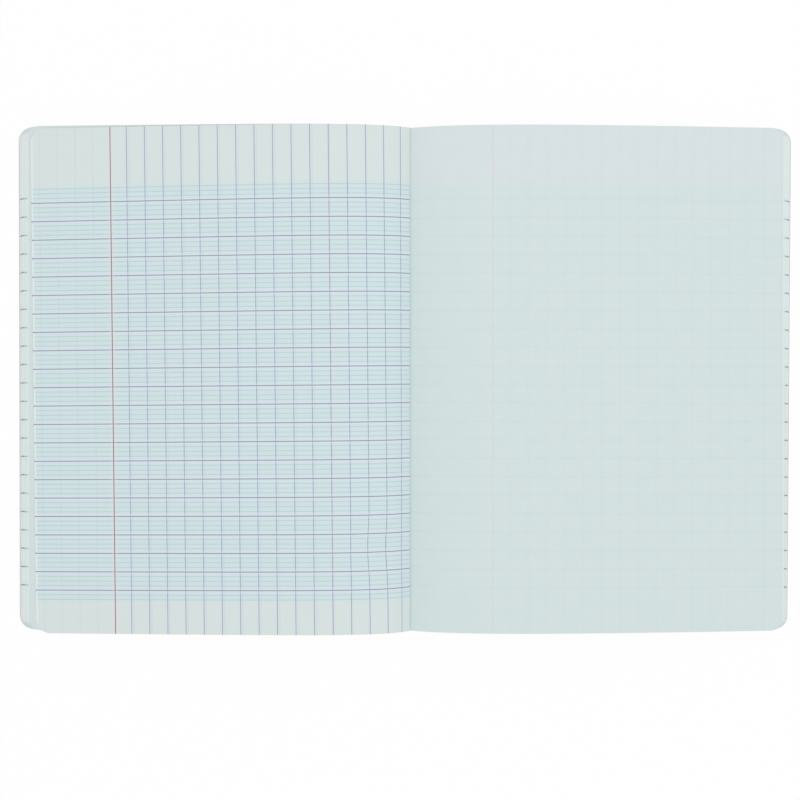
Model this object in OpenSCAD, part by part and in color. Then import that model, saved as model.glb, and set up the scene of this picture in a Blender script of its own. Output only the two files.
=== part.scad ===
// Open stapled exercise notebook, lying face up with one ruled page and one plain page.
// X runs across the spread, Y along the spine and Z up from the table.
// The origin lies on the table under the middle of the spine.

/* [Leaves] */
// Height of the leaves along the spine
leaf_h = 219.5; // [180:0.5:260]
// Distance from the spine to the lowest leaf edge of each half, as it lies
half_span = 169.4; // [166:0.1:190]
// Thickness of the leaves of one half
pack_t = 3.4; // [2.6:0.1:5]
// Radius of the rounded outer corners
corner_r = 6; // [3:0.5:14]
// Step back of the left fore-edge from its lowest to its highest leaf
left_fan = 4.3; // [2:0.1:7]
// Step back of the right fore-edge from its lowest to its highest leaf
right_fan = 3.7; // [2:0.1:7]

/* [Cover] */
// Thickness of the card cover
cover_t = 0.4; // [0.3:0.05:0.8]
// Height of the spine fold above the table
spine_lift = 0.7; // [0.6:0.1:2]
// Free space between the two halves at the fold
fold_gap = 0.4; // [0.3:0.05:0.6]
// Shift of the gutter to the right of the spine fold
gutter_lean = 2.6; // [1.5:0.1:3.2]
// Width of the strip along each fore-edge that lies flat on the table
rest_w = 5; // [3:0.5:20]

/* [Arch of the left half] */
// Size of the arch that the left leaves stand up in
left_rise = 12.3; // [9:0.1:14]
// Length over which the left arch climbs out of the gutter
left_climb = 17; // [15:0.5:24]
// Way the left arch falls to the fore-edge, 1 is straight and 2 is rounded
left_fall = 1.25; // [1.1:0.05:2]

/* [Arch of the right half] */
// Size of the arch that the right leaves stand up in
right_rise = 11; // [8:0.1:13]
// Length over which the right arch climbs out of the gutter
right_climb = 22; // [18:0.5:28]
// Way the right arch falls to the fore-edge, 1 is straight and 2 is rounded
right_fall = 1.7; // [1.2:0.05:2.2]

/* [Arch of the cover] */
// Difference in size between the arch of the cover and that of the leaves on it
cover_rise_loss = 0.1; // [0:0.1:2]
// Extra length over which the arch of the cover climbs from the spine
cover_climb_extra = 3.5; // [2:0.5:6]

/* [Ruled leaf] */
// Thickness of the single ruled leaf on top of the left half
ruled_t = 0.2; // [0.1:0.05:0.4]
// Distance from the gutter to the outer edge of the ruled leaf, as it lies
ruled_span = 165.3; // [150:0.1:166]
// Angle by which the ruled leaf lies askew on the left half
ruled_skew = 0.55; // [0.1:0.05:0.8]
// Free space under the ruled leaf at the gutter
ruled_gap = 0.1; // [0.05:0.05:1]
// Free space under the outer edge of the ruled leaf
ruled_float = 0.5; // [0.4:0.1:5]
// Size of the arch that the ruled leaf adds to that of the leaves below it
ruled_extra_rise = 1.1; // [0.4:0.1:3]

/* [Ruling] */
// Distance between two main lines
line_pitch = 8; // [7:0.25:8.5]
// Width of a printed line
line_w = 0.35; // [0.2:0.05:0.6]
// Number of main lines across the page
cross_count = 22; // [12:1:22]
// Distance from the top edge of the leaf to the first main line
first_line = 31.5; // [24:0.1:40]
// Number of upright lines
upright_count = 16; // [8:1:16]
// Distance from the gutter to the nearest upright line, along the paper
upright_start = 5.4; // [4.5:0.1:7]
// Distance from the farthest upright line to the margin line, along the paper
margin_step = 7.25; // [6.5:0.25:9]
// Depth of the finely ruled field above the first and below the last main line
field_overrun = 6; // [2:0.5:10]
// Thickness of one layer of ink
ink_t = 0.05; // [0.04:0.01:0.1]

/* [Staples] */
// Diameter of the staple wire
wire_d = 0.5; // [0.4:0.05:0.7]
// Length of a staple's crown along the spine
crown_l = 12; // [10:0.5:16]
// Length of each clinched point
clinch_l = 4.5; // [3:0.1:5]
// Depth of the clinched points under the top leaf
clinch_depth = 0.7; // [0.6:0.05:1]
// Distance from the middle of the spine to each staple
staple_offset = 55; // [30:1:80]
// Free space around the wire in the leaves and the cover
wire_clearance = 0.1; // [0.05:0.05:0.2]

/* [Hidden] */
$fn = 48;

facet = line_pitch / 2;
nudge = 0.01;
past = 1;

gutter_z = spine_lift + cover_t + pack_t;
fore_edge_z = cover_t + pack_t;
cut_h = gutter_z + left_rise + right_rise;
rest_from = half_span - rest_w;
left_reach = half_span - left_fan + gutter_lean;
right_reach = half_span - right_fan - gutter_lean;

// Height of an arch at the distance d from the fold
function arch(d, rise, climb, fall, span) =
    rise * (1 - exp(-d / climb)) * (1 - pow(d / span, fall));

// Height on a straight way from start to end
function level(d, span, start, end) = start + (end - start) * d / span;

// Underside of each cover, d is measured from the spine, and its outer strip lies on the table
function under(d, rise, climb, fall) =
    d >= rest_from
    ? 0
    : spine_lift * pow(1 - d / rest_from, 2)
      + arch(d, rise - cover_rise_loss, climb + cover_climb_extra, fall, rest_from);
front_under = function (d) under(d, left_rise, left_climb, left_fall);
back_under = function (d) under(d, right_rise, right_climb, right_fall);

// Upper side of the leaves of each half, d is measured from the gutter
left_top = function (d)
    level(d, left_reach, gutter_z, fore_edge_z)
    + arch(d, left_rise, left_climb, left_fall, left_reach);
right_top = function (d)
    level(d, right_reach, gutter_z, fore_edge_z)
    + arch(d, right_rise, right_climb, right_fall, right_reach);

// The ruled leaf follows the left leaves below it, and stands a little off them
ruled_gutter_step = ruled_gap + ruled_t * sqrt(1 + pow(left_rise / left_climb, 2));
ruled_edge_step = ruled_float + ruled_t;
ruled_top = function (d)
    left_top(d)
    + level(d, ruled_span, ruled_gutter_step, ruled_edge_step)
    + arch(d, ruled_extra_rise, left_climb, left_fall, ruled_span);

function slope(height, d) = (height(d + nudge) - height(d)) / nudge;
function over_cover(height, d) = height(d) + cover_t * sqrt(1 + pow(slope(height, d), 2));

// Even steps of about one facet from start to end, and the same backwards
function steps(start, end) =
    let (count = ceil((end - start) / facet))
    [for (i = [0:count]) level(i, count, start, end)];
function backwards(list) = [for (i = [len(list) - 1:-1:0]) list[i]];

cover_steps = concat(steps(fold_gap / 2, rest_from), [half_span]);

// The ruled leaf has a corner after every facet's length of paper
function paper_walk(d) =
    d > ruled_span - facet / 2
    ? [ruled_span]
    : concat([d], paper_walk(d + facet / sqrt(1 + pow(slope(ruled_top, d + facet / 2), 2))));
ruled_corners = [for (d = paper_walk(0)) [gutter_lean - d, ruled_top(d)]];
ruled_last = len(ruled_corners) - 1;

// A corner of the ruled leaf, moved off the paper by the height h
function along(i) = ruled_corners[min(i + 1, ruled_last)] - ruled_corners[max(i - 1, 0)];
function off_paper(i, h) = ruled_corners[i] + h * [along(i)[1], -along(i)[0]] / norm(along(i));
function layer(low, high) = concat(
    [for (i = [0:ruled_last]) off_paper(i, low)],
    [for (i = [ruled_last:-1:0]) off_paper(i, high)]
);

// A point at the distance s along the paper, measured from the gutter
function on_paper(s, h) =
    let (i = floor(s / facet), share = s / facet - i)
    off_paper(i, h) * (1 - share) + off_paper(i + 1, h) * share;

// Places of the ruling in the frame of the ruled leaf
first_line_y = leaf_h / 2 - first_line;
cross_ys = [for (i = [0:cross_count - 1]) first_line_y - line_pitch * i];
upright_places = [for (i = [0:upright_count - 1]) upright_start + line_pitch * i];
margin_place = upright_places[upright_count - 1] + margin_step;
field_h = line_pitch * (cross_count - 1) + 2 * field_overrun;

// The staples lean with the fold, from the crown under the spine to the points inside it
lean_angle = atan2(gutter_lean, pack_t);
wire_room = wire_d / 2 + wire_clearance;
slot_w = 2 * wire_room;
slot_depth = 4 * wire_room;
leg_l = (wire_d / 2 + cover_t + pack_t - clinch_depth) / cos(lean_angle);
crown_z = spine_lift - wire_d / 2;
crown_x = fold_gap / 2 + wire_room / cos(lean_angle) - (spine_lift + cover_t - crown_z) * tan(lean_angle);

module section(points, length) {
    rotate([90, 0, 0])
        linear_extrude(height = length, center = true)
            polygon(points);
}

// What is cut off the two outer corners of a leaf or cover whose edge is at x
module corner_waste(x, side) {
    waste_w = corner_r + past;
    for (end = [-1, 1])
        translate([x - side * corner_r, end * (leaf_h / 2 - corner_r), -past])
            difference() {
                translate([side > 0 ? 0 : -waste_w, end > 0 ? 0 : -waste_w, 0])
                    cube([waste_w, waste_w, cut_h]);
                translate([0, 0, -past])
                    cylinder(r = corner_r, h = cut_h + 2 * past);
            }
}

module cover_half(height, side) {
    difference() {
        section(concat(
            [for (d = cover_steps) [side * d, height(d)]],
            [for (d = backwards(cover_steps)) [side * d, over_cover(height, d)]]
        ), leaf_h);
        corner_waste(side * half_span, side);
    }
}

module leaves(height, under_height, reach, side) {
    difference() {
        section(concat(
            [for (d = cover_steps) [side * d, over_cover(under_height, d)]],
            [for (d = backwards(steps(fold_gap / 2, reach))) [gutter_lean + side * d, height(d)]]
        ), leaf_h);
        corner_waste(side * half_span, side);
    }
}

module back_cover() {
    color("#8fa3b8")
        difference() {
            cover_half(back_under, 1);
            staple_rooms();
        }
}

module front_cover() {
    color("#8fa3b8")
        cover_half(front_under, -1);
}

module right_leaves() {
    color("#d4e2e2")
        difference() {
            leaves(right_top, back_under, right_reach, 1);
            staple_rooms();
        }
}

module left_leaves() {
    color("#dbe6e4")
        leaves(left_top, front_under, left_reach, -1);
}

// The ruled leaf turns about the upper end of the gutter, and ends at the gutter
module askew() {
    translate([gutter_lean, leaf_h / 2, 0])
        rotate([0, 0, ruled_skew])
            translate([-gutter_lean, -leaf_h / 2, 0])
                children();
}

module past_gutter() {
    translate([gutter_lean - fold_gap / 2, -leaf_h, -past])
        cube([leaf_h * sin(ruled_skew) + fold_gap + past, 2 * leaf_h, cut_h]);
}

module ruled_leaf() {
    color("#d7e5e6")
        difference() {
            askew()
                difference() {
                    section(layer(-ruled_t, 0), leaf_h);
                    corner_waste(gutter_lean - ruled_span, -1);
                }
            past_gutter();
        }
}

module ruled_field() {
    color("#cbdfe3")
        difference() {
            askew()
                translate([0, first_line_y + field_overrun - field_h / 2, 0])
                    section(layer(0, ink_t), field_h);
            past_gutter();
        }
}

module upright_line(place) {
    section([
        on_paper(place - line_w / 2, ink_t),
        on_paper(place + line_w / 2, ink_t),
        on_paper(place + line_w / 2, 2 * ink_t),
        on_paper(place - line_w / 2, 2 * ink_t)
    ], leaf_h);
}

module upright_lines() {
    color("#8c97c2")
        askew()
            for (place = upright_places)
                upright_line(place);
}

module margin_line() {
    color("#a0526a")
        askew()
            upright_line(margin_place);
}

module cross_lines() {
    color("#7f8cbf")
        for (y = cross_ys)
            difference() {
                askew()
                    translate([0, y, 0])
                        section(layer(2 * ink_t, 3 * ink_t), line_w);
                past_gutter();
            }
}

module in_fold() {
    translate([crown_x, 0, crown_z])
        rotate([0, lean_angle, 0])
            children();
}

module wire(length) {
    cylinder(d = wire_d, h = length);
    sphere(d = wire_d);
    translate([0, 0, length])
        sphere(d = wire_d);
}

module staple(y) {
    color("#b9bdc0")
        translate([0, y, 0])
            in_fold() {
                translate([0, -crown_l / 2, 0])
                    rotate([-90, 0, 0])
                        wire(crown_l);
                for (end = [-1, 1])
                    translate([0, end * crown_l / 2, 0]) {
                        wire(leg_l);
                        translate([0, 0, leg_l])
                            rotate([end * 90, 0, 0])
                                wire(clinch_l);
                    }
            }
}

// A slot beside the wire, open towards the fold
module slot(y, z, length, height) {
    translate([-slot_depth, y, z])
        cube([slot_depth + wire_room, length, height]);
}

// Slots for the legs and the clinched points of both staples
module staple_rooms() {
    for (y = [-staple_offset, staple_offset])
        translate([0, y, 0])
            in_fold()
                for (end = [-1, 1]) {
                    leg_y = end * crown_l / 2;
                    clinch_y = end > 0 ? leg_y - clinch_l - wire_room : leg_y;
                    slot(leg_y - wire_room, 0, slot_w, leg_l + wire_room);
                    slot(clinch_y, leg_l - wire_room, clinch_l + wire_room, slot_w);
                }
}

module upper_staple() {
    staple(staple_offset);
}

module lower_staple() {
    staple(-staple_offset);
}

back_cover();
front_cover();
right_leaves();
left_leaves();
ruled_leaf();
upper_staple();
lower_staple();
ruled_field();
upright_lines();
cross_lines();
margin_line();
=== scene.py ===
import math
import random

import bpy
import numpy as np
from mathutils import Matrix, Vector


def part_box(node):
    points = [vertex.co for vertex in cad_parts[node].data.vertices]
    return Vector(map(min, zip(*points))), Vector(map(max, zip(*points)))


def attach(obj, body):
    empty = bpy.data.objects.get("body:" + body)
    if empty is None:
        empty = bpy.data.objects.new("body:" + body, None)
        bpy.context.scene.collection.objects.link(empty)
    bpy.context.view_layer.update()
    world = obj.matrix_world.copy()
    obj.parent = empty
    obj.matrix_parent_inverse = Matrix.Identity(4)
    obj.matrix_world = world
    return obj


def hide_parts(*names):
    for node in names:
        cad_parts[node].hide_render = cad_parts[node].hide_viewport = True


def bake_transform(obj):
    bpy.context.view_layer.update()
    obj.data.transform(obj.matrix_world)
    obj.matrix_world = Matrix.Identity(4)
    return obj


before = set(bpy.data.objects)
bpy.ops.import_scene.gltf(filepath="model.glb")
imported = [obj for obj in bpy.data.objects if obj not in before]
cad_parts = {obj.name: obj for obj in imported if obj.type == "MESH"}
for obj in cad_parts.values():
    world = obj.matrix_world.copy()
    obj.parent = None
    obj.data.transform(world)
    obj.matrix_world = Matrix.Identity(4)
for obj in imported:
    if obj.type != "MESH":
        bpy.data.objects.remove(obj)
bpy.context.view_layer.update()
view = bpy.context.scene.view_settings
view.view_transform = "Standard"

MM = 0.001

# Sizes of the notebook, in millimetres, from the solids and repeated from their source
cover_low, cover_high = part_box("back_cover")
leaf_h = (cover_high.y - cover_low.y) / MM
half_span = cover_high.x / MM
corner_r = 6
pack_t = 3.4
cover_t = 0.4
left_fan = 4.3
right_fan = 3.7
spine_lift = 0.7
gutter_lean = 2.6
rest_w = 5
left_arch = {"rise": 12.3, "climb": 17, "fall": 1.25}
right_arch = {"rise": 11, "climb": 22, "fall": 1.7}
cover_rise_loss = 0.1
cover_climb_extra = 3.5
ruled_t = 0.2
ruled_span = 165.3
ruled_skew = math.radians(0.55)
ruled_gap = 0.1
ruled_float = 0.5
ruled_extra_rise = 1.1

# Printed layout of one ruled page, in millimetres from its left edge and from the head of the leaf
page_w = 168.4
margin_at = 35.75
first_upright = 43
upright_count = 16
line_pitch = 8
first_line = 31.5
cross_count = 22
fine_pitch = 2
fine_above = 3
fine_below = 2
line_w = 0.34
upright_w = 0.27
fine_w = 0.4
halo_w = 2.6
field_margin = 1
field_fade = 1.2

# Paper and card, and how evenly they were gathered and cut
paper_t = 0.09
sheet_count = 24
cover_shows = 0.25
trim_error = 0.15
fan_crowding = 1.5
foot_draw = 0.0065

# How the print lies on its sheets: too low at the outer and the inner ones, turned a little, and grown
print_error = 0.05
outer_drop = 0.9
inner_drop = 0.35
print_turn = 0.0031
print_growth = 1.006
under_drop = 0.1

# The free leaf's print, and how much wider and lower at its edge it is than its solid
free_drop = 0.17
free_growth = 1.005
free_extra_width = 0.5
free_settling = 0.3

# How the trim of the left half slants towards the head, at the head and at the foot
square_trim = (0, 0)
left_trim = (0.0054, 0.0013)
free_trim = (0.0079, 0.003)

# A shallow hollow that is pressed into the free leaf beside the gutter, and how far it moves the paper
hollow_at = (-11.5, -73)
hollow_size = (5.5, 7.5)
hollow_shift = (-1, 0, -0.3)

# A flat sheet's corner steps and rows, and its strips as pairs of their width and where they end. The
# strips are narrow near the fold, where the paper bends most
corner_steps = 7
row_count = 12
hollow_row_reach = 6
strip_zones = [(0.5, 14), (2, 60), (4, 160)]
smooth_below = math.radians(40)

# The curve that a leaf follows has points from a share of its reach on, given as its square root
curve_points = 400
leaf_start = 0.004
free_start = 0.06

gutter_z = spine_lift + cover_t + pack_t
fore_edge_z = cover_t + pack_t
rest_from = half_span - rest_w
first_fine = first_line - fine_above * fine_pitch
last_fine = first_line + (cross_count - 1) * line_pitch + fine_below * fine_pitch
fine_count = (last_fine - first_fine) // fine_pitch + 1
field_start = first_fine - field_margin
field_end = last_fine + field_margin
askew_start_w = gutter_lean * 5
left_reach = half_span - left_fan + gutter_lean
right_reach = half_span - right_fan - gutter_lean
ruled_gutter_step = ruled_gap + ruled_t * math.hypot(1, left_arch["rise"] / left_arch["climb"])
ruled_edge_step = ruled_float + ruled_t

chance = random.Random(17)


def arch(d, rise, climb, fall, span):
    """Height of the swell of the leaves: a quick climb from the gutter and a slow fall to the edge."""
    return rise * (1 - np.exp(-d / climb)) * (1 - np.power(d / span, fall))


def level(d, span, start, end):
    """A height that goes evenly from start to end over the span."""
    return start + (end - start) * d / span


def card_height(d, shape):
    """Height of the middle of the card cover at the distance d from the spine."""
    d = np.asarray(d, float)
    near = np.minimum(d, rest_from)
    rise = shape["rise"] - cover_rise_loss
    climb = shape["climb"] + cover_climb_extra
    lift = spine_lift * np.square(1 - near / rest_from)
    under = lift + arch(near, rise, climb, shape["fall"], rest_from)
    slope = np.gradient(under, d)
    return under + cover_t / 2 * np.sqrt(1 + np.square(slope))


def pack_top(d, reach, shape):
    """Height of the top of the leaves of one half at the distance d from the gutter."""
    return level(d, reach, gutter_z, fore_edge_z) + arch(d, **shape, span=reach)


def shares(first):
    """Shares of the way to the edge, closest together at the fold, where they start at first squared."""
    return np.square(np.linspace(first, 1, curve_points))


def card_curve(side):
    """The way the card cover runs from the fold to its edge, as points in X and Z."""
    d = shares(0) * half_span
    shape = right_arch if side > 0 else left_arch
    return np.stack([side * d, card_height(d, shape)], axis=1)


def leaf_curve(share, side):
    """The way one leaf runs from the fold to its fore-edge, at its share of the height of the pack."""
    shape = right_arch if side > 0 else left_arch
    reach = right_reach if side > 0 else left_reach
    way = shares(leaf_start)
    span = half_span - cover_shows
    low_x = side * way * span
    low_z = card_height(way * span, shape) + cover_t / 2
    high_x = gutter_lean + side * way * reach
    high_z = pack_top(way * reach, reach, shape)
    back = share ** fan_crowding
    return np.stack([low_x + (high_x - low_x) * back, low_z + (high_z - low_z) * share], axis=1)


def ruled_curve():
    """The way the free ruled leaf runs, a little above the others of the left half."""
    d = shares(free_start) * (ruled_span + free_extra_width)
    z = pack_top(d, left_reach, left_arch)
    z += level(d, ruled_span, ruled_gutter_step, ruled_edge_step - free_settling)
    z += arch(d, ruled_extra_rise, left_arch["climb"], left_arch["fall"], ruled_span)
    return np.stack([gutter_lean - d, z - ruled_t / 2], axis=1)


def along(curve):
    """Length along a curve up to each of its points."""
    steps = np.hypot(*np.diff(curve, axis=0).T)
    return np.concatenate([[0], np.cumsum(steps)])


def linear(colour):
    """Linear colour from an sRGB hex value."""
    parts = [int(colour[i:i + 2], 16) / 255 for i in (1, 3, 5)]
    return [c / 12.92 if c <= 0.04045 else ((c + 0.055) / 1.055) ** 2.4 for c in parts] + [1]


def add(tree, kind, inputs=None, output=0, **settings):
    """Adds a shader node with its settings, and its inputs set or linked, and gives one of its outputs.
    The sockets 6 and 7 of a Mix node are its colours, and its output 2 is the colour that they give."""
    made = tree.nodes.new(kind)
    for name, value in settings.items():
        setattr(made, name, value)
    for key, value in (inputs or {}).items():
        if isinstance(value, bpy.types.NodeSocket):
            tree.links.new(value, made.inputs[key])
        else:
            made.inputs[key].default_value = value
    return made.outputs[output] if made.outputs else None


def new_material(name):
    material = bpy.data.materials.new(name)
    material.use_nodes = True
    material.node_tree.nodes.clear()
    return material, material.node_tree


def finish_material(tree, colour, bump, **sockets):
    """The last nodes of a material: its shader, with what else its sockets are given, and the output."""
    shader = add(tree, "ShaderNodeBsdfPrincipled", {"Base Color": colour, "Normal": bump, **sockets})
    add(tree, "ShaderNodeOutputMaterial", {"Surface": shader})


def tint(tree, colour, ink, mask, strength=1):
    """The colour with ink over it where the mask is 1, as dark as strength says."""
    amount = add(tree, "ShaderNodeMath", {0: mask, 1: strength}, operation="MULTIPLY")
    colours = {"Factor": amount, 6: colour, 7: linear(ink)}
    return add(tree, "ShaderNodeMix", colours, output=2, data_type="RGBA", blend_type="MIX")


# A printed line is full up to a share of its width from its middle, and fades out to another share
line_full = 0.3
line_gone = 0.7


def lines(tree, place, first, count, width, pitch=line_pitch):
    """A mask of count lines that repeat every pitch from the first, across the place."""
    moved = add(tree, "ShaderNodeMath", {0: place, 1: first}, operation="SUBTRACT")
    turn = add(tree, "ShaderNodeMath", {0: moved, 1: pitch}, operation="DIVIDE")
    nearest = add(tree, "ShaderNodeMath", {0: turn}, operation="ROUND")
    above = add(tree, "ShaderNodeMath", {0: nearest, 1: -0.5}, operation="GREATER_THAN")
    below = add(tree, "ShaderNodeMath", {0: nearest, 1: count - 0.5}, operation="LESS_THAN")
    inside = add(tree, "ShaderNodeMath", {0: above, 1: below}, operation="MULTIPLY")
    apart = add(tree, "ShaderNodeMath", {0: turn, 1: nearest}, operation="SUBTRACT")
    apart = add(tree, "ShaderNodeMath", {0: apart}, operation="ABSOLUTE")
    apart = add(tree, "ShaderNodeMath", {0: apart, 1: pitch}, operation="MULTIPLY")
    edges = {"Value": apart, "From Min": width * line_full, "From Max": width * line_gone}
    falling = {**edges, "To Min": 1, "To Max": 0}
    line = add(tree, "ShaderNodeMapRange", falling, interpolation_type="SMOOTHSTEP")
    return add(tree, "ShaderNodeMath", {0: line, 1: inside}, operation="MULTIPLY")


def band(tree, place, start, end, fade):
    """A mask of the places between start and end, with soft limits."""
    rising = {"Value": place, "From Min": start - fade, "From Max": start + fade}
    begun = add(tree, "ShaderNodeMapRange", rising, interpolation_type="SMOOTHSTEP")
    falling = {"Value": place, "From Min": end - fade, "From Max": end + fade, "To Min": 1, "To Max": 0}
    going_on = add(tree, "ShaderNodeMapRange", falling, interpolation_type="SMOOTHSTEP")
    return add(tree, "ShaderNodeMath", {0: begun, 1: going_on}, operation="MULTIPLY")


def near_edge(tree, full, gone):
    """A mask that is 1 up to full from the fore-edge, and 0 from gone on, in millimetres."""
    distance = add(tree, "ShaderNodeAttribute", output=2, attribute_name="from_fore_edge")
    falling = {"Value": distance, "From Min": full, "From Max": gone, "To Min": 1, "To Max": 0}
    return add(tree, "ShaderNodeMapRange", falling, interpolation_type="SMOOTHSTEP")


def page_places(tree, direction):
    """The place across and down a page in millimetres, from its left edge and its head."""
    uv = add(tree, "ShaderNodeUVMap", uv_map="paper")
    across = add(tree, "ShaderNodeSeparateXYZ", {0: uv}, output="X")
    down = add(tree, "ShaderNodeSeparateXYZ", {0: uv}, output="Y")
    across = add(tree, "ShaderNodeMath", {0: across, 1: direction}, operation="MULTIPLY")
    across = add(tree, "ShaderNodeMath", {0: across, 1: page_w}, operation="FLOORED_MODULO")
    return across, down


def fibres(tree, colour, cloud, grain_mm, depth_mm, cloud_mm=6):
    """Paper's cloudy formation in its colour, and its fibres as a fine bump. A fibre is only about 0.03 mm
    wide, too fine to show, so the bump is drawn as coarse as clumps of fibres."""
    place = add(tree, "ShaderNodeTexCoord", output="Object")
    clouds = {"Vector": place, "Scale": 1 / (cloud_mm * MM), "Detail": 3.0, "Roughness": 0.6}
    mottle = add(tree, "ShaderNodeTexNoise", clouds)
    shade = {"Value": mottle, "From Min": 0.3, "From Max": 0.7, "To Min": 1 - cloud, "To Max": 1 + cloud}
    shade = add(tree, "ShaderNodeMapRange", shade)
    colour = add(tree, "ShaderNodeVectorMath", {0: colour, "Scale": shade}, operation="SCALE")
    fine = {"Vector": place, "Scale": 1 / (grain_mm * MM), "Detail": 4.0, "Roughness": 0.65}
    grain = add(tree, "ShaderNodeTexNoise", fine)
    bump = add(tree, "ShaderNodeBump", {"Strength": 0.5, "Distance": depth_mm * MM, "Height": grain})
    return colour, bump


# Painted light and shade at the fore-edge: a strip of painted light makes its outermost part paler, and
# the cross lines end there in darker ticks, their ink darkened with painted shade of the stepped leaf
# edges
EDGE_PAINTED_LIGHT = "#ecf3f1"
EDGE_INK_AND_SHADE = "#707882"
painted_light_width = (0.3, 1.1)
painted_light_on_writing = 0.8
painted_light_on_drawing = 0.4
shaded_end_width = (0.2, 0.5)
shaded_end_w = line_w * 1.6

# Wood-free writing paper, offset printed in violet, pale blue and red. It looks cool white and quite
# matte. Its lines are thin and greyish, with a soft halo that gives them their violet or red, and the
# print of the reverse side shows through as a faint grid
PAPER = "#dae5e3"
FIELD = "#d2e5e7"
FINE_INK = "#bfd1d2"
CROSS_INK = "#858e99"
CROSS_HALO = "#e3e5f8"
UPRIGHT_INK = "#9397a0"
UPRIGHT_HALO = "#cfdaf5"
MARGIN_INK = "#7d616d"
MARGIN_HALO = "#ecdce0"
SHOWN_THROUGH = "#a9a9b8"
RED_THROUGH = "#e8dfe3"
fine_strength = 0.8
cross_halo_strength = 0.3
upright_halo_strength = 0.2
margin_halo_strength = 0.3
reverse_shift = 1.4
reverse_w = line_w * 2
reverse_strength = 0.08
reverse_margin_strength = 0.1
red_through_strength = 0.2


def printed(tree, colour, place, first, count, width, ink, halo, halo_strength):
    """The colour with main lines of one kind over it, each in the midst of its soft halo."""
    around = lines(tree, place, first, count, halo_w)
    colour = tint(tree, colour, halo, around, halo_strength)
    return tint(tree, colour, ink, lines(tree, place, first, count, width))


def shown_through(tree, colour, across):
    """The colour with the print of the reverse side, as faint as thin paper lets it through."""
    uprights = lines(tree, across, first_upright + reverse_shift, upright_count, reverse_w)
    colour = tint(tree, colour, SHOWN_THROUGH, uprights, reverse_strength)
    red_glow = lines(tree, across, margin_at + reverse_shift, 1, halo_w)
    colour = tint(tree, colour, RED_THROUGH, red_glow, red_through_strength)
    margin = lines(tree, across, margin_at + reverse_shift, 1, reverse_w)
    return tint(tree, colour, MARGIN_INK, margin, reverse_margin_strength)


def ruled_paper(name, direction):
    """Writing paper whose page runs to the right of the fold for the direction 1, to the left for -1."""
    material, tree = new_material(name)
    across, down = page_places(tree, direction)
    behind, _ = page_places(tree, -direction)
    field = band(tree, down, field_start, field_end, field_fade)
    colour = tint(tree, linear(PAPER), FIELD, field)
    colour = shown_through(tree, colour, behind)
    fine = lines(tree, down, first_fine, fine_count, fine_w, fine_pitch)
    colour = tint(tree, colour, FINE_INK, fine, fine_strength)
    # Painted light: the strip along the fore-edge is painted paler, in place of light on the stepped leaf
    # edges
    colour = tint(tree, colour, EDGE_PAINTED_LIGHT, near_edge(tree, *painted_light_width), painted_light_on_writing)
    upright = (upright_w, UPRIGHT_INK, UPRIGHT_HALO, upright_halo_strength)
    colour = printed(tree, colour, across, first_upright, upright_count, *upright)
    cross = (line_w, CROSS_INK, CROSS_HALO, cross_halo_strength)
    colour = printed(tree, colour, down, first_line, cross_count, *cross)
    margin = (line_w, MARGIN_INK, MARGIN_HALO, margin_halo_strength)
    colour = printed(tree, colour, across, margin_at, 1, *margin)
    # Print and painted shade: where the cross lines reach the fore-edge they are drawn wider and darker,
    # as the shade of the stepped leaf edges
    wide_ends_for_shade = lines(tree, down, first_line, cross_count, shaded_end_w)
    at_edge = near_edge(tree, *shaded_end_width)
    line_ends_and_shade = add(tree, "ShaderNodeMath", {0: wide_ends_for_shade, 1: at_edge}, operation="MULTIPLY")
    colour = tint(tree, colour, EDGE_INK_AND_SHADE, line_ends_and_shade)
    colour, bump = fibres(tree, colour, cloud=0.006, grain_mm=0.5, depth_mm=0.012)
    finish_material(tree, colour, bump, Roughness=0.82, IOR=1.45)
    return material


# Uncoated drawing paper, pressed between felts. It is matte with a fine tooth, and the ruling of the
# leaf under it shows through very faintly, and makes it a little greener below the head
DRAWING = "#d9e2e4"
DRAWING_OVER_FIELD = "#d6e3e3"
DRAWING_OVER_MARGIN = "#e0a0b0"
under_shift = 0.8
under_fade = 3
past_foot = leaf_h * 2
under_w = line_w * 3
under_upright_strength = 0.03
under_cross_strength = 0.04
under_margin_strength = 0.08


def drawing_paper(name):
    material, tree = new_material(name)
    across, down = page_places(tree, 1)
    below_head = band(tree, down, field_start, past_foot, under_fade)
    colour = tint(tree, linear(DRAWING), DRAWING_OVER_FIELD, below_head)
    # Painted light: the strip along the fore-edge is painted paler, in place of light on the stepped leaf
    # edges
    colour = tint(tree, colour, EDGE_PAINTED_LIGHT, near_edge(tree, *painted_light_width), painted_light_on_drawing)
    uprights = lines(tree, across, first_upright + under_shift, upright_count, under_w)
    colour = tint(tree, colour, SHOWN_THROUGH, uprights, under_upright_strength)
    crosses = lines(tree, down, first_line, cross_count, under_w)
    colour = tint(tree, colour, SHOWN_THROUGH, crosses, under_cross_strength)
    margin = lines(tree, across, margin_at + under_shift, 1, under_w)
    colour = tint(tree, colour, DRAWING_OVER_MARGIN, margin, under_margin_strength)
    colour, bump = fibres(tree, colour, cloud=0.008, grain_mm=0.7, depth_mm=0.02)
    finish_material(tree, colour, bump, Roughness=0.88, IOR=1.45)
    return material


# The guillotined edge of paper or card, and card's uncoated inside, where bare fibres stand up. It looks
# chalky, rougher than the face of the paper and quite without gloss
def cut_edge(name, colour):
    material, tree = new_material(name)
    colour, bump = fibres(tree, linear(colour)[:3], cloud=0.03, grain_mm=0.3, depth_mm=0.03)
    finish_material(tree, colour, bump, Roughness=0.95, IOR=1.4)
    return material


# Coated cover card, dyed blue-grey on the outside and embossed with a linen grain, which breaks its
# faint sheen into a fine weave. Its threads are drawn a little further apart than usual, so that they
# show. The Wave texture repeats after this length over its scale
wave_repeat = math.pi / 10
thread_pitch = 0.88 * MM
thread_relief = 0.06 * MM
dye_cloud = 9 * MM


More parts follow.
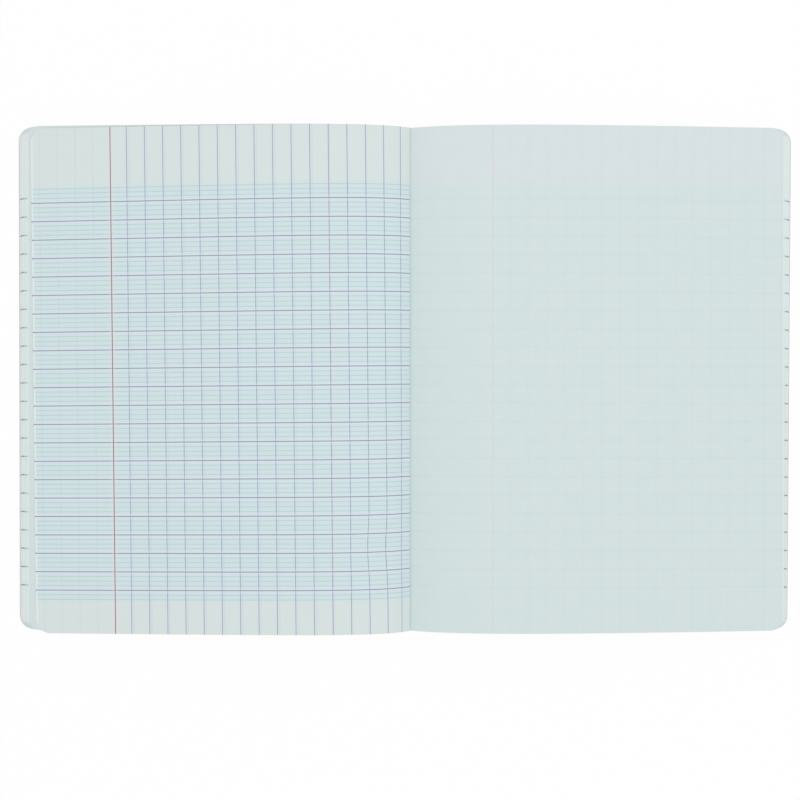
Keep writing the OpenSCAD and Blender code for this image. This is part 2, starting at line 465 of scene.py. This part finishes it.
def cover_card(name):
    material, tree = new_material(name)
    place = add(tree, "ShaderNodeTexCoord", output="Object")
    dye = add(tree, "ShaderNodeTexNoise", {"Vector": place, "Scale": 1 / dye_cloud, "Detail": 4.0})
    dyes = {"Factor": dye, 6: linear("#7d93aa"), 7: linear("#8ba0b5")}
    colour = add(tree, "ShaderNodeMix", dyes, output=2, data_type="RGBA")
    threads = {"Vector": place, "Scale": wave_repeat / thread_pitch, "Distortion": 0.6, "Detail": 1.0}
    warp = add(tree, "ShaderNodeTexWave", threads, output=1, bands_direction="X")
    weft = add(tree, "ShaderNodeTexWave", threads, output=1, bands_direction="Y")
    weave = add(tree, "ShaderNodeMath", {0: warp, 1: weft}, operation="MAXIMUM")
    bump = add(tree, "ShaderNodeBump", {"Strength": 0.8, "Distance": thread_relief, "Height": weave})
    rough = add(tree, "ShaderNodeMapRange", {"Value": weave, "To Min": 0.42, "To Max": 0.55})
    finish_material(tree, colour, bump, Roughness=rough, IOR=1.5)
    return material


# Galvanised staple wire, drawn and flattened. It has the dull grey bloom of its zinc
bloom_size = 0.8 * MM
bloom_relief = 0.01 * MM


def staple_wire(name):
    material, tree = new_material(name)
    place = add(tree, "ShaderNodeTexCoord", output="Object")
    bloom = add(tree, "ShaderNodeTexNoise", {"Vector": place, "Scale": 1 / bloom_size, "Detail": 3.0})
    greys = {"Factor": bloom, 6: linear("#a9adb0"), 7: linear("#c9cdd0")}
    colour = add(tree, "ShaderNodeMix", greys, output=2, data_type="RGBA")
    bump = add(tree, "ShaderNodeBump", {"Strength": 0.2, "Distance": bloom_relief, "Height": bloom})
    rough = {"Value": bloom, "From Min": 0.3, "From Max": 0.7, "To Min": 0.28, "To Max": 0.45}
    rough = add(tree, "ShaderNodeMapRange", rough)
    finish_material(tree, colour, bump, Roughness=rough, Metallic=1.0)
    return material


inner_print = ruled_paper("writing_paper_inner_side", 1)
outer_print = ruled_paper("writing_paper_outer_side", -1)
plain_page = drawing_paper("uncoated_drawing_paper")
paper_edge = cut_edge("guillotined_paper_edge", "#dfe6e3")
card_outside = cover_card("linen_grained_cover_card")
card_inside = cut_edge("uncoated_card_inside", "#d9dada")
card_edge = cut_edge("guillotined_card_edge", "#d2d2d2")
zinc_wire = staple_wire("galvanised_staple_wire")


def cut_across(place, direction):
    """Cuts all faces of the mesh that is edited along a plane."""
    bpy.ops.mesh.select_all(action="SELECT")
    bpy.ops.mesh.bisect(plane_co=place, plane_no=direction)


def strip_places():
    """Where a flat sheet is cut into strips, in millimetres from its fold."""
    places = []
    start = 0
    for width, end in strip_zones:
        places += [start + width * (i + 1) for i in range(round((end - start) / width))]
        start = end
    turns = [math.radians(90 * i / corner_steps) for i in range(1, corner_steps)]
    return places + [half_span - corner_r + corner_r * math.sin(turn) for turn in turns]


def flat_sheet(name, rows):
    """A flat sheet of the full spread, in millimetres, with rounded corners, cut in strips and rows."""
    bpy.ops.object.select_all(action="DESELECT")
    bpy.ops.mesh.primitive_plane_add(size=2)
    sheet = bpy.context.object
    sheet.name = name
    bpy.ops.object.mode_set(mode="EDIT")
    bpy.ops.transform.resize(value=(half_span, leaf_h / 2, 1))
    bpy.ops.mesh.select_all(action="SELECT")
    bpy.ops.mesh.bevel(offset=corner_r, segments=corner_steps, affect="VERTICES")
    cut_across((0, 0, 0), (1, 0, 0))
    for side in (-1, 1):
        for d in strip_places():
            cut_across((side * d, 0, 0), (1, 0, 0))
    for row in rows:
        cut_across((0, row, 0), (0, 1, 0))
    bpy.ops.object.mode_set(mode="OBJECT")
    sheet.data.uv_layers.new(name="paper")
    return sheet


def points_of(mesh):
    """The mesh's points as rows of X, Y and Z."""
    points = np.zeros(len(mesh.vertices) * 3)
    mesh.vertices.foreach_get("co", points)
    return points.reshape(-1, 3)


def turn_askew(points, paper_x, angle):
    """Turns the left half about the head of its fold, with a soft start in the strip beside it."""
    away = np.clip(-paper_x / askew_start_w, 0, 1)
    angle = angle * away * away * (3 - 2 * away)
    x = points[:, 0] - gutter_lean
    y = points[:, 1] - leaf_h / 2
    points[:, 0] = gutter_lean + x * np.cos(angle) - y * np.sin(angle)
    points[:, 1] = leaf_h / 2 + x * np.sin(angle) + y * np.cos(angle)


def bent(
    sheet, name, right, left, cut_short=0, drop=0, turn=0, growth=1, slant=square_trim, askew=0,
    turned_over=False,
):
    """A copy of the flat sheet that follows the two curves from its fold. Its print may lie lower by drop,
    turned by turn and grown by growth. The trim of its left half may slant, and that half lie askew."""
    piece = sheet.copy()
    piece.data = sheet.data.copy()
    piece.name = piece.data.name = name
    bpy.context.collection.objects.link(piece)
    mesh = piece.data
    flat = points_of(mesh)
    from_foot = 0.5 + flat[:, 1] / leaf_h
    at_head, at_foot = slant
    height = flat[:, 1] + (at_foot + (at_head - at_foot) * from_foot) * np.maximum(-flat[:, 0], 0)
    placed = np.zeros_like(flat)
    placed[:, 1] = height
    paper_x = np.zeros(len(flat))
    from_edge = np.zeros(len(flat))
    fold = (right[0] + left[0]) / 2
    for side, curve in ((1, right), (-1, left)):
        curve = np.vstack([fold, curve[1:]])
        lengths = along(curve)
        mine = flat[:, 0] * side >= 0
        reach = lengths[-1] - cut_short
        place = np.abs(flat[mine, 0]) / half_span * reach
        placed[mine, 0] = np.interp(place, lengths, curve[:, 0])
        placed[mine, 2] = np.interp(place, lengths, curve[:, 1])
        if side > 0:
            placed[mine, 0] *= 1 - foot_draw * (1 - from_foot[mine])
        paper_x[mine] = place * (1 if turned_over else side)
        from_edge[mine] = reach - place
    if askew:
        turn_askew(placed, paper_x, askew)
    mesh.vertices.foreach_set("co", (placed * MM).ravel())
    corners = np.zeros(len(mesh.loops), np.int32)
    mesh.loops.foreach_get("vertex_index", corners)
    down = leaf_h / 2 - height / growth - drop - turn * paper_x
    paper_uv = np.stack([paper_x[corners], down[corners]], axis=1)
    mesh.uv_layers["paper"].data.foreach_set("uv", paper_uv.ravel())
    mesh.attributes.new("from_fore_edge", "FLOAT", "POINT").data.foreach_set("value", from_edge)
    mesh.update()
    return piece


def press_hollow(piece):
    """Moves the paper round the hollow's middle, less with the distance from it."""
    points = points_of(piece.data)
    away = (points[:, :2] / MM - hollow_at) / hollow_size
    depth = np.exp(-np.square(away).sum(axis=1) / 2)
    points += np.outer(depth, hollow_shift) * MM
    piece.data.vertices.foreach_set("co", points.ravel())


def thicken(piece, thickness, materials):
    """Gives a bent sheet its thickness and its materials, face, back and cut edge."""
    for material in materials:
        piece.data.materials.append(material)
    solid = piece.modifiers.new("thickness", "SOLIDIFY")
    solid.thickness = thickness * MM
    solid.offset = 0
    solid.material_offset = 1
    solid.material_offset_rim = 2
    bpy.ops.object.select_all(action="DESELECT")
    piece.select_set(True)
    bpy.context.view_layer.objects.active = piece
    bpy.ops.object.modifier_apply(modifier=solid.name)
    bpy.ops.object.shade_smooth_by_angle(angle=smooth_below)


# The free leaf has more rows than the others round its hollow, half a size of the hollow apart
even_rows = [leaf_h * (i / row_count - 0.5) for i in range(1, row_count)]
half_sizes = range(-hollow_row_reach, hollow_row_reach + 1)
hollow_rows = [hollow_at[1] + hollow_size[1] * i / 2 for i in half_sizes]
flat = flat_sheet("flat_sheet", even_rows)
flat_free = flat_sheet("flat_free_sheet", even_rows + hollow_rows)

# The card cover is one piece, folded at the spine
cover = bent(flat, "card_cover", card_curve(1), card_curve(-1), slant=left_trim)
thicken(cover, cover_t, [card_inside, card_outside, card_edge])
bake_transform(cover)
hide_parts("back_cover", "front_cover")

# Sheets from the outermost to the innermost, each folded once. Every second one is ruled. The last ruled
# one carries the leaf that stands up on the left, and the innermost lies wholly on the right
left_count = sheet_count - 2
right_count = sheet_count + 1
for number in range(sheet_count):
    is_ruled = number % 2 == 0
    share = (number + 0.5) / right_count
    right = leaf_curve(share, 1)
    drop = outer_drop * (1 - share) ** 4 + inner_drop * share ** 3
    drop += chance.uniform(-print_error, print_error)
    trim = chance.uniform(0, trim_error)
    if number < left_count:
        left = leaf_curve((number + 0.5) / left_count, -1)
        name = f"folded_sheet_{number + 1:02d}"
        print_place = {"drop": drop, "turn": print_turn, "growth": print_growth}
        sheet = bent(flat, name, right, left, cut_short=trim, slant=left_trim, **print_place)
    elif is_ruled:
        left = ruled_curve()
        print_place = {"drop": free_drop, "growth": free_growth}
        free = {"slant": free_trim, "askew": ruled_skew}
        sheet = bent(flat_free, "ruled_sheet", right, left, **free, **print_place)
        press_hollow(sheet)
    else:
        over = leaf_curve((number + 1.5) / right_count, 1)
        print_place = {"drop": under_drop, "turn": print_turn}
        sheet = bent(flat, "innermost_sheet", right, over, turned_over=True, **print_place)
    faces = [inner_print, outer_print, paper_edge] if is_ruled else [plain_page, plain_page, paper_edge]
    thicken(sheet, paper_t, faces)
    if number < sheet_count - 1:
        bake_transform(sheet)
        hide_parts("left_leaves")
    else:
        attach(sheet, "right_half")
        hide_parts("right_leaves")
    if sheet.name == "ruled_sheet":
        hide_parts("ruled_leaf", "ruled_field", "upright_lines", "cross_lines", "margin_line")

bpy.data.objects.remove(flat)
bpy.data.objects.remove(flat_free)

for staple in ("upper_staple", "lower_staple"):
    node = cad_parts[staple]
    node.data.materials.clear()
    node.data.materials.append(zinc_wire)


def seen_white(tree):
    """1 for what the camera, gloss and clear things see, so that floor and sky are white to them."""
    seen = 0.0
    for ray in ("Is Camera Ray", "Is Glossy Ray", "Is Transmission Ray"):
        looked_at = add(tree, "ShaderNodeLightPath", output=ray)
        seen = add(tree, "ShaderNodeMath", {0: seen, 1: looked_at}, operation="MAXIMUM")
    return seen


# Plain pale floor, of which a part stays matte so that it keeps the object's shadow
floor_size = 4
floor_white = 0.965
bpy.ops.object.select_all(action="DESELECT")
bpy.ops.mesh.primitive_plane_add(size=floor_size, location=(0, 0, 0))
floor = bpy.context.object
floor.name = "floor"
floor_material, floor_tree = new_material("pale_floor")
floor.data.materials.append(floor_material)
matte = add(floor_tree, "ShaderNodeBsdfDiffuse", {"Color": linear("#f4f4f4")})
glow = add(floor_tree, "ShaderNodeEmission", {"Strength": 1.0})
glow_part = {0: seen_white(floor_tree), 1: floor_white}
glow_part = add(floor_tree, "ShaderNodeMath", glow_part, operation="MULTIPLY")
floor_shader = add(floor_tree, "ShaderNodeMixShader", {0: glow_part, 1: matte, 2: glow})
add(floor_tree, "ShaderNodeOutputMaterial", {"Surface": floor_shader})

# Level light: a white sky and one broad soft lamp high above
sky_strength = 0.8
lamp_power = 1.8
lamp_size = 0.9
lamp_place = (0.15, 0.15, 0.9)
world = bpy.data.worlds.new("white_room")
bpy.context.scene.world = world
world.use_nodes = True
sky = world.node_tree
sky.nodes.clear()
strength = {"Value": seen_white(sky), "To Min": sky_strength, "To Max": 1}
strength = add(sky, "ShaderNodeMapRange", strength)
lit = add(sky, "ShaderNodeBackground", {"Color": linear("#ffffff"), "Strength": strength})
add(sky, "ShaderNodeOutputWorld", {"Surface": lit})

bpy.ops.object.light_add(type="AREA", location=lamp_place)
lamp = bpy.context.object
lamp.data.shape = "DISK"
lamp.data.size = lamp_size
lamp.data.energy = lamp_power

# The camera looks almost straight down from about 650 mm, a little from the head. Its height and aim are
# in millimetres, and its focal length in pixels of the photograph
camera_h = 651.3
camera_tilt = math.radians(0.55)
aim_x = -2.14
aim_y = -8.9
focal_px = 1481.4
photo_px = 800
sensor_mm = 36
nearest_seen = 0.01
camera_y = aim_y + camera_h * math.tan(camera_tilt)
camera_place = (aim_x * MM, camera_y * MM, camera_h * MM)
bpy.ops.object.camera_add(location=camera_place, rotation=(-camera_tilt, 0, 0))
camera = bpy.context.object
camera.data.sensor_width = sensor_mm
camera.data.lens = focal_px / photo_px * sensor_mm
camera.data.clip_start = nearest_seen
bpy.context.scene.camera = camera
